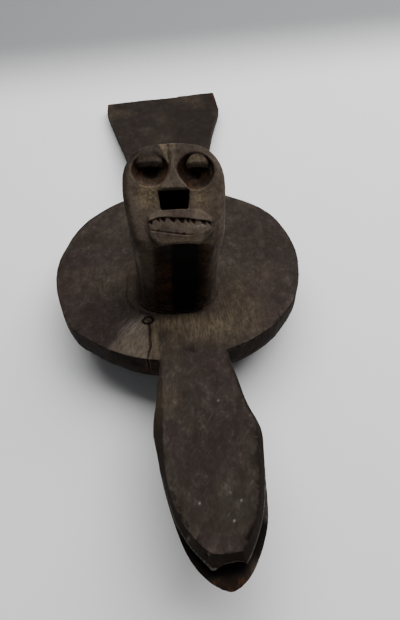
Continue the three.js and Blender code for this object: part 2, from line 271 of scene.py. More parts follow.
def tool_cuts(u, v, mark, seed):
    """Marks of a blade on a surface with coordinates u and v: one jittered centre in each cell of a mark's
    width by length, and each point belongs to the nearest centre. Gives the squared distance from that
    centre, 0 in the middle of a scoop and about 1 at its edge, and the mark's own number from 0 to 1."""
    a = u / mark[0]
    b = v / mark[1]
    ca = np.floor(a).astype(np.int64)
    cb = np.floor(b).astype(np.int64)
    best = np.full(len(u), 9.0)
    number = np.zeros(len(u))
    for da in (-1, 0, 1):
        for db in (-1, 0, 1):
            ia = ca + da
            ib = cb + db
            x = ia + 0.15 + 0.7 * cell_number(ia, ib, ia * 0, seed) - a
            y = ib + 0.15 + 0.7 * cell_number(ia, ib, ia * 0 + 1, seed) - b
            far = x * x + y * y
            nearer = far < best
            best = np.where(nearer, far, best)
            number = np.where(nearer, cell_number(ia, ib, ia * 0 + 2, seed), number)
    return np.clip(best, 0, 1), number


# Surfaces

def close_rings(rings):
    """A closed surface through rings [ring, point, xyz]: quads between neighbouring rings, and a fan to
    the mean point at each end. Faces are turned to point outwards by the sign of the volume."""
    count, around = rings.shape[:2]
    index = np.arange(count * around).reshape(count, around)
    here = index[:-1]
    after = index[1:]
    quads = np.stack([here, np.roll(here, -1, 1), np.roll(after, -1, 1), after], axis=-1).reshape(-1, 4)
    vertices = np.concatenate([rings.reshape(-1, 3), rings[:1].mean(1), rings[-1:].mean(1)])
    low = count * around
    first, last = index[0], index[-1]
    bottom = np.stack([np.roll(first, -1), first, np.full(around, low)], axis=-1)
    top = np.stack([last, np.roll(last, -1), np.full(around, low + 1)], axis=-1)
    triangles = np.concatenate([quads[:, :3], quads[:, [0, 2, 3]], bottom, top])
    a, b, c = (vertices[triangles[:, k]] for k in range(3))
    if np.einsum("ij,ij->i", a, np.cross(b, c)).sum() < 0:
        triangles = triangles[:, ::-1]
    return vertices, triangles


def inset(outline, distance):
    """Moves each point of a counter-clockwise outline inwards by its own distance, square to the chord
    between its two neighbours."""
    chord = np.roll(outline, -1, 0) - np.roll(outline, 1, 0)
    chord /= np.linalg.norm(chord, axis=1, keepdims=True)
    return outline + np.stack([-chord[:, 1], chord[:, 0]], axis=1) * np.reshape(distance, (-1, 1))


def level(outline, z):
    return np.column_stack([outline, np.broadcast_to(z, len(outline))])


def ground(y):
    """The ground's height in the carving's frame: the plane that the tilt turns level."""
    return (y * TILT_SIN - GROUND_Z) / TILT_COS


def plate_share(angle):
    """The plate's radius in every direction: 1 plus a bell-shaped swelling for each bulge."""
    share = np.ones_like(angle)
    for at, width, amount in PLATE_BULGES:
        away = ((np.degrees(angle) - at + 540) % 360 - 180) / width
        share += amount * np.exp(-away * away)
    return share


def plate_and_collar(around=720):
    """A profile turned about the plate's centre: top face, rim, underside, collar wall down to the ground
    plane, and up again inside as the hollow's dome. The plate's radii are scaled by plate_share."""
    angle = np.arange(around) * 2 * math.pi / around
    edge = PLATE_RADIUS * plate_share(angle)
    across = np.cos(angle)
    along = np.sin(angle)

    def ring(radius, z):
        return np.stack([PLATE_X + radius * across, radius * along, z + 0 * angle], axis=1)

    under = -PLATE_THICKNESS
    rim = [(1.3, 0), (0.4, -0.35), (0, -1.3), (0, -8), (0, -15), (0.6, -21),
           (1.6, under + 1.5), (3.6, under)]
    rings = [ring(edge - back, z) for back, z in rim]
    rings += [ring(COLLAR_OUTER + by, under - down) for by, down in ((4, 0), (1, 1), (0, 4))]
    rings += [ring(low, ground(low * along) + 0.2) for low in (COLLAR_OUTER - 1.5, COLLAR_INNER - 0.5)]
    dome = [(1.0, under - 8), (0.985, under - 3), (0.95, under + 2), (0.88, under + 8), (0.76, under + 12.5),
            (0.6, under + 15), (0.4, HOLLOW_TOP - 0.3), (0.15, HOLLOW_TOP)]
    rings += [ring(COLLAR_INNER * share, z) for share, z in dome]
    return close_rings(np.stack(rings))


def jaw_outline(left, tip, right):
    """One jaw seen from above, counter-clockwise: down the left side from the root, round the tip, and
    up the right side. A point may carry more numbers than its place."""
    return np.concatenate([path(left), path(tip, 12)[1:-1], path(right)[::-1]])


def drawn_in(outline, share):
    """Moves each point by a share of the way towards the bill's spine, a line that ends short of the tip."""
    spine = np.stack([0 * outline[:, 0] + 2.0, np.maximum(outline[:, 1], -226.0)], axis=1)
    return outline[:, :2] + (spine - outline[:, :2]) * np.reshape(share, (-1, 1))


def upper_jaw():
    """Rings between two outlines seen from above: the jaw's edge, and the edge of its flat top. A straight
    facet joins them, gentle at the sides and steep at the tip. Where the tip is arched from below, the
    edge starts higher up the same facet."""
    # Edge x and y, top x and y, and how far the facet drops.
    left = [(-27, -92, -25.5, -92, 1.2), (-28.5, -108, -26.3, -108, 1.4), (-31.5, -126, -27.2, -127, 2.2),
            (-34, -142, -27.4, -144, 3.6), (-36.5, -156, -28.4, -157, 4.6), (-37.3, -167, -29.4, -168, 5.2),
            (-36, -180, -30, -181, 5.6), (-33.5, -197, -29.8, -197, 6.2), (-31, -210, -28.2, -210, 6.8),
            (-28, -223, -24.6, -222, 7.2), (-24, -233, -20.6, -231.5, 7.4), (-19, -242, -15.6, -239, 7.6),
            (-13, -250, -10.4, -245, 7.8), (-8, -256, -6, -248.4, 8)]
    tip = [(-8, -256, -6, -248.4, 8), (0, -256.8, 0, -249, 8), (8, -256.6, 7, -249, 8),
           (14, -256, 12.5, -248.2, 8)]
    right = [(24, -92, 22.5, -92, 1.2), (26.4, -110, 24.6, -110, 1.4), (29.5, -131, 27.4, -131, 1.8),
             (33, -152, 30.6, -152, 2.4), (38, -167, 34.6, -166, 3.2), (39.5, -177, 35, -177, 4),
             (38, -190, 33.4, -190, 5), (36, -205, 31, -205, 6), (33, -219, 28.4, -218, 6.8),
             (29, -231, 25, -229, 7.2), (24, -241, 20.4, -238, 7.6), (19, -249, 16, -244.5, 7.8),
             (14, -256, 12.5, -248.2, 8)]
    outline = jaw_outline(left, tip, right)
    edge, flat, drop = outline[:, :2], outline[:, 2:4], outline[:, 4]
    open_share = smooth(-JAW_SPLIT_Y, -UPPER_TIP_Y, -edge[:, 1])
    arch = 3.0 * np.exp(-((edge[:, 0] - 5) / 8.5) ** 4) * smooth(247, 255, -edge[:, 1])
    start = np.reshape(arch / drop, (-1, 1))
    under = JAW_SPLIT_Z + 2.2 * open_share + arch

    def facet(t):
        share = start + t * (1 - start)
        return level(edge + (flat - edge) * share, -drop * (1 - share[:, 0]))

    brink = facet(0.0)[:, :2]
    return close_rings(np.stack([
        level(drawn_in(brink, 0.45), JAW_SPLIT_Z + 1.6 * open_share + 0.9 * arch),
        level(drawn_in(brink, 0.10), under + 0.3 * arch),
        level(drawn_in(brink, 0.02), under - 0.1),
        level(brink, np.minimum(under + 0.25, -drop + arch - 0.2)),
        *(facet(t) for t in (0, 0.06, 0.5, 0.94, 1)),
        level(drawn_in(flat, 0.06), 0), level(drawn_in(flat, 0.4), 0),
    ]))


def lower_jaw():
    """Levels of the lower jaw's outline, from a rounded keel to the slanting top inside the mouth."""
    left = [(-27, -92), (-28.5, -108), (-31.5, -126), (-34, -142), (-36.5, -156), (-37.3, -167), (-36, -181),
            (-34, -198), (-30, -218), (-25, -236), (-19, -249), (-11, -259), (-3, -265)]
    right = [(24, -92), (28.5, -128), (33, -152), (38, -167), (39.3, -177), (38.2, -190), (36.5, -206),
             (33, -229), (27.5, -243), (21, -253.5), (15, -260.5), (9, -264.8)]
    outline = jaw_outline(left, [(-3, -265), (3, -266.8), (9, -264.8)], right)
    open_share = smooth(-JAW_SPLIT_Y, -LOWER_TIP_Y, -outline[:, 1])
    top = JAW_SPLIT_Z - 4.4 * open_share
    keel = smooth(120, 260, -outline[:, 1])
    levels = ((0.30 + 0.1 * keel, BILL_UNDERSIDE), (0.14 + 0.06 * keel, BILL_UNDERSIDE + 0.6),
              (0.04, BILL_UNDERSIDE + 3.2), (0, BILL_UNDERSIDE + 6), (0, np.minimum(top - 0.8, -12.5)),
              (0.02, top - 0.2), (0.10, top), (0.30, top - 1.2 * open_share))
    return close_rings(np.stack([level(drawn_in(outline, share), z) for share, z in levels]))


def tail():
    """Levels of the tail board's outline, thinner towards the far end, with eased edges."""
    corners = np.array((
        (-30, 92), (25, 92), (36, 134), (47, 176), (59.5, 223), (75.6, 276), (75.0, 300), (74.6, 321.6),
        (72.8, 323.4), (48, 323.2), (26, 322.2), (23.5, 320.4), (-13, 320.2), (-40, 319.6), (-68.6, 317.8),
        (-71.4, 316), (-71.8, 304), (-71.5, 291), (-59.5, 234), (-57.0, 223), (-48, 178),
    ))
    span = np.roll(corners, -1, 0) - corners
    steps = np.linspace(0, 1, 24, endpoint=False)
    outline = (corners[:, None] + span[:, None] * steps[None, :, None]).reshape(-1, 2)
    along = (outline[:, 1] - 92) / (TAIL_END_Y - 92)
    under = -(TAIL_THICKNESS[0] + (TAIL_THICKNESS[1] - TAIL_THICKNESS[0]) * along)
    levels = ((6, under), (1.6, under + 0.3), (0.3, under + 2), (0, under + 4),
              (0, -1.2), (0.4, -0.4), (1.2, 0), (6, 0))
    return close_rings(np.stack([level(inset(outline, by), z) for by, z in levels]))


# The head

def turned(axis, angle):
    return np.array(Matrix.Rotation(angle, 3, axis))


TILT_BASIS = turned("X", -REST_TILT)
HEAD_BASIS = turned("Z", HEAD_TURN) @ turned("Y", HEAD_LEAN)
FACE_UP = np.array((0.0, math.cos(FACE_SLOPE), math.sin(FACE_SLOPE)))
FACE_OUT = np.array((0.0, -math.sin(FACE_SLOPE), math.cos(FACE_SLOPE)))


def head_ring(angle, z):
    """A point of the head's side: at each height a ring with squared corners, x = half · |cos|^(2/n) and
    y = depth · |sin|^(2/n), with n for the back and for each side of the front."""
    half, mid, front, back, front_left, front_right, behind = (
        through(z, HEAD_LEVELS[:, 0], HEAD_LEVELS[:, k]) for k in range(1, 8))
    c = np.cos(angle)
    s = np.sin(angle)
    power = 2 / np.where(s > 0, behind, np.where(c < 0, front_left, front_right))
    depth = np.where(s < 0, HEAD_WAIST - front, back - HEAD_WAIST)
    x = mid + half * np.sign(c) * np.abs(c) ** power
    y = HEAD_WAIST + depth * np.sign(s) * np.abs(s) ** power
    return np.stack([x, y, np.broadcast_to(z, x.shape)], axis=-1)


def head_point(angle, z):
    """The head's side with the neck's flat cuts: between two upright edges a point is drawn towards the
    straight line that joins them. Below the lip a scoop hollows the front."""
    z = z + 0.0 * angle
    turn = np.degrees(angle) + np.where(np.degrees(angle) < -2, 360, 0)
    turn = np.where(turn > 358, turn - 360, turn)
    low_share = 1 - ramp(10, 62, z)
    edges = [top + (foot - top) * low_share for top, foot in NECK_EDGES]
    start = np.full(turn.shape, -2.0)
    end = np.full(turn.shape, 358.0)
    for edge in edges:
        start = np.where(edge <= turn, np.maximum(start, edge), start)
    for edge in edges[::-1]:
        end = np.where(edge > turn, np.minimum(end, edge), end)
    t = np.clip((turn - start) / (end - start), 0, 1)[..., None]
    straight = (1 - t) * head_ring(np.radians(start), z) + t * head_ring(np.radians(end), z)
    flat = NECK_FLATNESS * smooth(3, 12, z) * (1 - smooth(56, 68, z))
    point = head_ring(angle, z)
    point = point + (straight - point) * flat[..., None]
    throat = 2.5 * np.exp(-((point[..., 0] - 1.5) / 17) ** 4) * smooth(14, 34, z)
    point[..., 1] += np.where(np.sin(angle) < 0, throat, 0)
    return point


def lid_place(x, s, lid):
    """How far across an eyelid a place lies, from 0 in its middle to 1 at its sides, how high above the
    lid's lower edge, and how far below its top."""
    cx, cs, rx, rs, _ = lid
    across = np.clip(np.abs(x - cx) / rx, 0, 1)
    return across, s - (cs - across**2), cs + rs * np.sqrt(1 - across**2) - s


def brow_cut(s):
    """The bare cut left of the ridge on the brow: how much of it there is up the face, and its left edge."""
    return between(s, 60, 62, 75, 77), -3.2 - 0.4 * (s - 60)


def face_relief(x, s):
    """The height of the carving above the face's plane, at x across and s up the slope: a bowl for each
    eye with a lid in its upper half and a hole below the lid, a ridge that widens into the nose, a deep
    square nostril, and the mouth."""
    h = np.zeros_like(x)
    for socket in SOCKETS:
        far = oval_distance(x, s, socket)
        h = np.where(far < 1, -SOCKET_DEPTH * (1 - far**2.6), h)
    left = through(s, *RIDGE_LEFT)
    right = through(s, *RIDGE_RIGHT)
    nose = through(s, *RIDGE_RISE) * ramp(0, 1.5, x - left) * ramp(0, 1.5, right - x)
    h = np.where((s > NOSTRIL_TOP) & (x > left) & (x < right), np.maximum(h, nose), h)
    cut, cut_left = brow_cut(s)
    h = h - 1.4 * cut * ramp(cut_left, BROW_CUT_RIGHT, x) * (x < BROW_CUT_RIGHT)
    for lid, eye_hole in zip(LIDS, EYE_HOLES):
        across, above, under_top = lid_place(x, s, lid)
        swell = lid[4] - 3.8 * (1 - np.sqrt(1 - across**3)) - 3.0 * smooth(4, 0, above) ** 2
        h = np.where((h < 0) & (across < 1) & (above > 0) & (under_top > 0), np.maximum(h, swell), h)
        far = oval_distance(x, s, eye_hole)
        h = np.where((far < 1) & (above < 0), h - EYE_HOLE_DEPTH * smooth(1, 0.5, far), h)
    # A short upright nick in the right lid.
    h = h - 0.7 * np.exp(-((x - 19.4) / 0.7) ** 2) * ((s > 57.3) & (s < 65))
    down = (NOSTRIL_TOP - s) / (NOSTRIL_TOP - NOSTRIL_FOOT)
    pit_left, pit_right = (side + move * down for side, move in (NOSTRIL_LEFT, NOSTRIL_RIGHT))
    inside = np.minimum.reduce([x - pit_left, pit_right - x, s - NOSTRIL_FOOT, NOSTRIL_TOP - s])
    deep = ramp(0, 0.8, inside)
    h = h * (1 - deep) - NOSTRIL_DEPTH * deep
    return h - spots(x, s, CHEEK_HOLLOWS) + mouth_relief(x, s) * (s < NOSTRIL_FOOT + 1.5)


def teeth(x, s):
    """How far a place lies inside the dark notches between the teeth, from 0 to 1: a narrow groove under
    the upper lip's edge, and slanting cuts that run down from it and end in a point."""
    below = through(x, *LIP_EDGE) - s
    slant = x - 0.45 * below
    inside = 0.8 - below
    for at, width in NOTCHES:
        half = width / 2 * (1 - 0.75 * (below / NOTCH_LENGTH) ** 2)
        inside = np.maximum(inside, half - np.abs(slant - at))
    return smooth(-0.1, 0.5, inside) * (below > -0.3) * smooth(NOTCH_LENGTH, NOTCH_LENGTH - 0.5, below)


def mouth_relief(x, s):
    """The mouth above the face's plane: an upper lip with a stepped edge, slanting notches between the
    teeth, a tongue that rises to a slit, and a crescent lower lip with fine cuts along it."""
    top = through(x, *LIP_TOP)
    edge = through(x, *LIP_EDGE)
    slit = through(x, *SLIT)
    foot = through(x, *LIP_FOOT)
    within = between(x, MOUTH_LEFT - 1.2, MOUTH_LEFT + 1.4, MOUTH_RIGHT - 1.4, MOUTH_RIGHT + 1.2)
    upper = 0.9 * ramp(top + 0.5, top - 0.6, s) + 2.4 * ramp(top - 0.6, edge + 0.6, s)
    tongue = 2.4 + 1.2 * ramp(edge, slit + 0.6, s) - 1.2 * teeth(x, s)
    lower = 3.6 * ramp(foot - 0.3, foot + 1.0, s) + 0.9 * ramp(foot + 1.0, slit, s)
    lower += 0.17 * np.sin((slit - s) * 3.7)
    opening = 0.45 * smooth(15, 6, x) + 0.05
    h = np.where(s > edge, upper, tongue)
    h = np.where(s < slit + opening, tongue - 2.4, h)
    h = np.where(s < slit - opening, lower, h)
    return within * np.where((s < top + 0.5) & (s > foot - 0.3), h, 0)


def head(around=900, rows=190, face_rings=150):
    """One closed surface in two parameters: round the head, and first up its side to where the sloping
    face plane cuts it, then across the face to its middle, lifted by the relief. Inside the face's edge
    runs a bevelled strip, straight at the cheeks, wide and round at the corners of the jaw and narrow under
    the lip."""
    dense = np.linspace(-math.pi, math.pi, 20001)
    reference = head_ring(dense, np.full_like(dense, 78.0))
    length = np.concatenate([[0], np.cumsum(np.linalg.norm(np.diff(reference, axis=0), axis=1))])
    angle = np.interp(np.arange(around) / around * length[-1], length, dense)
    low = np.full(around, 0.0)
    high = np.full(around, 134.0)
    chin = smooth(0.62, 0.9, -np.sin(angle))
    crown = smooth(0.4, 0.9, np.sin(angle))
    jaw_corner = smooth(13, 21, np.abs(head_ring(angle, np.full(around, 76.0))[:, 0]))
    bevel = 3.0 * (1 - crown) * (1 - chin) + 0.8 * crown + (0.6 + 3.6 * jaw_corner) * chin
    strip = 4.6 * (1 - chin) + (1.2 + 6.8 * jaw_corner) * chin
    for _ in range(40):
        middle = (low + high) / 2
        above = (head_point(angle, middle) - FACE_FOOT) @ FACE_OUT + bevel
        low = np.where(above > 0, low, middle)
        high = np.where(above > 0, middle, high)
    start = HEAD_LEVELS[0, 0]
    share = (np.linspace(0, 1, rows) ** 1.25)[:, None]
    side = head_point(angle[None, :] + 0 * share, start + share * (low - start)[None, :])
    outline = (side[-1] - FACE_FOOT) @ np.stack([np.array((1.0, 0, 0)), FACE_UP], axis=1)
    middle = np.array((0.0, 36.0))
    step = np.linspace(0, 1, face_rings + 1)[1:-1, None, None]
    flat = outline[None] + (middle - outline[None]) * step
    from_edge = np.linalg.norm(flat - outline[None], axis=-1)
    x, s = flat[..., 0], flat[..., 1]
    t = 1 - ramp(0, 1, from_edge / strip)
    drop = bevel * (t * (1 - chin) + t * t * chin)
    lift = face_relief(x, s) * smooth(0, 0.5, from_edge) - drop
    face = FACE_FOOT + x[..., None] * (1.0, 0, 0) + s[..., None] * FACE_UP + lift[..., None] * FACE_OUT
    vertices, triangles = close_rings(np.concatenate([side, face]))
    return vertices @ HEAD_BASIS.T + HEAD_FOOT, triangles


def in_head(p):
    """Places in the head's frame, as x, y and z, and on the face: s up its slope and h out of its plane."""
    q = (p - HEAD_FOOT) @ HEAD_BASIS
    return *q.T, (q - FACE_FOOT) @ FACE_UP, (q - FACE_FOOT) @ FACE_OUT


# From surfaces to one carved block

def mesh_of(name, vertices, triangles):
    mesh = bpy.data.meshes.new(name)
    mesh.vertices.add(len(vertices))
    mesh.vertices.foreach_set("co", np.ascontiguousarray(vertices, np.float32).ravel())
    mesh.loops.add(triangles.size)
    mesh.loops.foreach_set("vertex_index", np.ascontiguousarray(triangles, np.int32).ravel())
    mesh.polygons.add(len(triangles))
    mesh.polygons.foreach_set("loop_start", np.arange(0, triangles.size, 3, dtype=np.int32))
    mesh.update(calc_edges=True)
    mesh.validate()
    piece = bpy.data.objects.new(name, mesh)
    bpy.context.scene.collection.objects.link(piece)
    return piece


def joined(parts):
    vertices = np.concatenate([v for v, _ in parts])
    starts = np.cumsum([0] + [len(v) for v, _ in parts[:-1]])
    return vertices, np.concatenate([t + start for (_, t), start in zip(parts, starts)])


def finished(piece):
    """The piece's mesh with its modifiers applied."""
    graph = bpy.context.evaluated_depsgraph_get()
    mesh = bpy.data.meshes.new_from_object(piece.evaluated_get(graph))
    piece.modifiers.clear()
    piece.data = mesh
    return mesh


def read(items, key, width, kind=np.float32):
    """One property of every item, as rows."""
    values = np.empty(len(items) * width, kind)
    items.foreach_get(key, values)
    return values.reshape(-1, width)


def vertex_arrays(mesh):
    """A mesh's points, their normals and its edges."""
    points = read(mesh.vertices, "co", 3).astype(float)
    normals = read(mesh.vertex_normals, "vector", 3).astype(float)
    return points, normals, read(mesh.edges, "vertices", 2, np.int32)


def relax(values, edges, rounds):
    """Each round moves a value half-way to the mean of its neighbours along the mesh's edges."""
    a, b = edges[:, 0], edges[:, 1]
    count = len(values)
    degree = np.bincount(a, minlength=count) + np.bincount(b, minlength=count)
    for _ in range(rounds):
        total = np.stack([np.bincount(a, values[b, k], count) + np.bincount(b, values[a, k], count)
                          for k in range(values.shape[1])], axis=1)
        values = 0.5 * values + 0.5 * total / degree[:, None]
    return values


def to_world(p):
    """The carving's frame turned by the tilt and set on the ground, in metres."""
    x, y, z = p.T
    turned_back = np.stack([x, y * TILT_COS + z * TILT_SIN, -y * TILT_SIN + z * TILT_COS], axis=1)
    return (turned_back + CARVING_AT) * MM


def from_world(world):
    """The inverse of to_world."""
    x, y, z = (world / MM - CARVING_AT).T
    return np.stack([x, y * TILT_COS - z * TILT_SIN, y * TILT_SIN + z * TILT_COS], axis=1)


def crack_distance(p):
    """How far a point is from the crack's upright surface, measured along x."""
    xs, ys = np.transpose(CRACK)
    return p[:, 0] - np.interp(-p[:, 1], -ys, xs)


def carve(p, n):
    """How far each point moves along its normal, in millimetres: soft unevenness everywhere, the shallow
    scoops of an adze, gouge steps at the neck's foot, and the crack with its knot."""
    x, qy, qz, s, h = in_head(p)
    px, py, pz = p.T
    on_head = smooth(1, 6, qz) * smooth(0.4, 2, pz)
    on_face = smooth(-4, 0, s) * smooth(-6, -3, h) * on_head
    move = (1 - 0.6 * on_face) * (0.42 * noise(p, 34, 3) + 0.16 * noise(p, 9, 4))
    up = smooth(0.6, 0.9, np.abs(n[:, 2])) * (1 - on_head)
    cut, number = tool_cuts(px, py, ADZE_MARK, 5)
    move -= up * (0.22 * (1 - cut) + 0.22 * number)
    round_rim = np.degrees(np.arctan2(py, px - PLATE_X)) * RIM_MM_PER_DEGREE
    cut, number = tool_cuts(round_rim, pz, RIM_MARK, 6)
    move -= (1 - up) * (1 - on_head) * (0.55 * (1 - cut) + 0.35 * number)
    round_neck = np.degrees(np.arctan2(qy - HEAD_WAIST, x)) * NECK_MM_PER_DEGREE
    cut, number = tool_cuts(round_neck, qz, NECK_MARK, 8)
    move -= on_head * (1 - on_face) * (0.32 * (1 - cut) + 0.16 * number)
    front = smooth(-6, -12, qy) * smooth(21, 14, qz) * smooth(0.2, 1.4, qz)
    step = np.abs(((qz + 0.35 * noise(p, 12, 9)) / GOUGE_STEP) % 1 - 0.5) * 2
    move -= 0.75 * front * (1 - step)
    cut, number = tool_cuts(x + 0.3 * s, s, FACE_MARK, 10)
    move -= on_face * (0.1 * (1 - cut) + 0.1 * number)
    far = np.abs(crack_distance(p))
    reach = smooth(-69, -73, py) * smooth(-22, -8, pz) * (py > -115) * (qz < 3)
    move -= 2.3 * reach * np.clip(1 - far / (1.2 + 0.4 * noise(p, 5, 12)), 0, 1)
    ring = oval_distance(px, py, KNOT)
    move -= (np.abs(pz) < 6) * (1.1 * np.exp(-((ring - 1) / 0.22) ** 2) - 0.4 * (ring < 0.8))
    return move - 1.3 * (pz > -8) * spot(px, py, *CHIP)


def carved_mask():
    parts = [plate_and_collar(), upper_jaw(), lower_jaw(), tail(), head()]
    piece = mesh_of("mask_carved", *joined(parts))
    remesh = piece.modifiers.new("one_block", "REMESH")
    remesh.mode = "VOXEL"
    remesh.voxel_size = VOXEL
    mesh = finished(piece)
    p, n, edges = vertex_arrays(mesh)
    p = relax(p, edges, 1)
    x, qy, qz, _, _ = in_head(p)
    foot = smooth(4, 1.5, np.abs(qz)) * smooth(50, 46, np.abs(x)) * smooth(68, 62, qy)
    foot *= smooth(-60, -50, qy) * smooth(-2.5, -1, p[:, 2])
    p += (relax(p, edges, 14) - p) * foot[:, None]
    bulge = np.einsum("ij,ij->i", p - relax(p, edges, 3), n)
    worn_down = 1.3 * np.clip(bulge - 0.06, 0, 0.5) * np.clip(0.5 + noise(p, 7, 14), 0, 2)
    p = p + n * (carve(p, n) - worn_down)[:, None]
    world = to_world(p)
    world[:, 2] = np.maximum(world[:, 2], 0.0)
    mesh.vertices.foreach_set("co", world.astype(np.float32).ravel())
    mesh.update()
    _, n, _ = vertex_arrays(mesh)
    bulge = relax(np.einsum("ij,ij->i", p - relax(p, edges, 4), n @ TILT_BASIS)[:, None], edges, 1)[:, 0]
    mesh.attributes.new("bulge", "FLOAT", "POINT").data.foreach_set("value", bulge.astype(np.float32))
    triangles = 2 * len(mesh.polygons)
    thin = piece.modifiers.new("thin", "DECIMATE")
    thin.ratio = min(1.0, MOST_TRIANGLES / triangles)
    keep_fine(piece, p)
    thin.vertex_group = "fine"
    thin.invert_vertex_group = True
    mesh = finished(piece)
    mesh.polygons.foreach_set("use_smooth", np.ones(len(mesh.polygons), bool))
    colour_masks(mesh)
    return piece


def keep_fine(piece, p):
    """A vertex group that keeps the triangles small where the carving or its colour is fine: 1 on the face
    and at the nicks, less round the knot and at the bill's tip and edge, and 0 elsewhere."""
    _, _, qz, s, h = in_head(p)
    px, py, pz = p.T
    fine = np.maximum.reduce([
        smooth(-8, -4, s) * smooth(-22, -14, h) * (qz > 30),
        0.5 * spot(px, py, -35, -85, 8, 30) * (pz > -20),
        0.4 * smooth(-240, -250, py),
        0.5 * smooth(-194, -200, py) * (np.abs(pz + 7) < 3.5),
        *(spot(px, py, *nick, 3.5, 3.5) * (pz > -7) for nick in NICKS),
    ])
    group = piece.vertex_groups.new(name="fine")
    steps = np.round(fine * 4).astype(int)
    for step in range(1, 5):
        group.add(np.flatnonzero(steps == step).tolist(), step / 4, "REPLACE")


def inside_of(corners, x, y):
    """How far a place lies inside a convex counter-clockwise outline: its least distance from the edges'
    lines, negative outside."""
    corners = np.asarray(corners, float)
    least = np.full(len(x), 1e3)
    for (ax, ay), (bx, by) in zip(corners, np.roll(corners, -1, 0)):
        across = (bx - ax) * (y - ay) - (by - ay) * (x - ax)
        least = np.minimum(least, across / math.hypot(bx - ax, by - ay))
    return least


def colour_masks(mesh):
    """Where the wood's colours lie: dust on what faces up, bare tan wood, reddish wood, soot together with
    painted shade in the holes, the slits and under the jaw and the chin, worn edges, dirt in the hollows,
    handled places together with painted light on the head's sides and the neck's edges, scraped places
    together with painted highlights, and painted shade together with the parts in deeper tone."""
    world, n, _ = vertex_arrays(mesh)
    p = from_world(world)
    x, qy, qz, s, h = in_head(p)
    _, ny, nz = (n @ TILT_BASIS).T
    px, py, pz = p.T
    bulge = read(mesh.attributes["bulge"].data, "value", 1)[:, 0]
    on_head = smooth(1, 5, qz) * smooth(0.4, 2, pz)
    on_face = smooth(-5, -1, s) * smooth(-8, -4, h) * on_head
    top = (nz > 0.5) * (1 - on_head) * (pz > -6)
    soft = noise(p, 11, 21)
    fine = noise(p, 3.5, 22)
    dust = smooth(0.15, 0.9, nz + 0.06 * soft + 0.04 * fine) * np.where(pz < -28, 0.3, 1)
    worn = np.clip((bulge - 0.05) / 0.16, 0, 1)
    tan, red, soot_and_painted_shade, painted_shade_and_dark_tone, scraped_and_painted_highlight, socket = np.zeros((6, len(p)))

    # The sockets are mottled red, and painted shade darkens the holes under the lids. Deeper places belong
    # to the plate behind the head.
    near_face = on_head * (h > -14)
    for oval, lid, eye_hole in zip(SOCKETS, LIDS, EYE_HOLES):
        far = oval_distance(x, s, oval)
        across, above, under_top = lid_place(x, s, lid)
        on_lid = smooth(1, 0.9, across) * smooth(-0.3, 0.5, above) * smooth(-0.2, 0.6, under_top)
        socket = np.maximum(socket, near_face * (far < 1.02) * smooth(-0.3, -1.6, h) * (1 - on_lid))
        hole = smooth(1.5, 0.6, oval_distance(x, s, eye_hole) + 0.12 * fine)
        soot_and_painted_shade += 0.35 * near_face * hole * smooth(-6, -8.5, h)
    # Only the last lid, the right one, is bare.
    tan += 0.4 * on_lid * (far < 1) * on_head * (x > 0)
    tan += 0.25 * socket * smooth(0.2, 0.6, noise(p, 2.4, 25))
    red += socket * np.clip(0.55 + 0.6 * noise(p, 3, 24), 0, 1)
    # Painted shade darkens the sockets, the right one far more than the left.
    soot_and_painted_shade += socket * (0.02 + 0.16 * (x > 0))
    painted_shade_and_dark_tone += socket * (0.05 + 0.8 * (x > 0))

    # The brow's cut, the cheeks and the lower lip are bare; red wood and painted shade darken the slit and
    # the notches between the teeth, and painted shade the nostril.
    cut, cut_left = brow_cut(s)
    strip = cut * (x < -3.2) * (x > cut_left - 0.6)
    tan += on_face * (0.6 * strip + 0.2 * smooth(56, 60, s) * (x > -3.2) * (x < 2.4) + spots(x, s, FACE_TAN))
    red += on_face * spots(x, s, CHEEK_RED) * smooth(0, 0.5, fine)
    scraped_and_painted_highlight += on_face * (0.12 * strip + 0.8 * spot(x, s, 15, 16.5, 4, 2) * (fine > 0))
    painted_shade_and_dark_tone += on_face * smooth(62, 68, s) * (0.45 - 0.3 * smooth(-12, -6, x))
    in_nostril = (s > NOSTRIL_FOOT - 1) & (s < NOSTRIL_TOP + 1) & (np.abs(x) < 12.5)
    soot_and_painted_shade += in_nostril * (h > -NOSTRIL_DEPTH - 3) * smooth(-1, -4, h)
    bitten = on_face * teeth(x, s) * (np.abs(x - 2.5) < 23)
    parting = on_face * smooth(0.8, 0.3, np.abs(s - through(x, *SLIT))) * (x > -19) * smooth(18, 8, x)
    red += bitten + parting
    soot_and_painted_shade += 0.15 * bitten + 0.5 * parting

    # Handling has bared lighter wood on the face and the crown. On the head's sides and the neck's outer
    # edges the lighter wood is partly handling and partly painted light, which on the right side stands for
    # a reflection.
    handled_and_painted_light = on_head * smooth(-2, 3, s) * smooth(-9, -3, h) * (1 - 0.9 * socket)
    sides = np.where(x < 0, 0.45, 0.85) * on_head * smooth(14, 27, np.abs(x)) * smooth(-30, -20, qy)
    sides *= smooth(-0.5, 0.1, ny + 0.75)
    crown = 0.8 * on_head * smooth(0.3, 0.8, nz) * (pz > 20)
    under_lip = on_head * smooth(-0.3, -1.3, h) * (s < 6) * (qy < -15) * smooth(22, 18, np.abs(x - 2))
    neck_front = np.maximum(smooth(-6, -14, qy) * on_head * smooth(3, -2, s), under_lip)
    edges = 0.35 * smooth(-27, -30, x) + 0.5 * smooth(-16, -19, x)
    edges += 0.3 * smooth(16, 19, x) + 0.2 * smooth(23, 27, x)
    handled_and_painted_light = np.maximum.reduce([handled_and_painted_light, sides, crown, neck_front * edges])
    handled_and_painted_light *= (0.86 + 0.14 * soft) * (1 - 0.8 * under_lip)
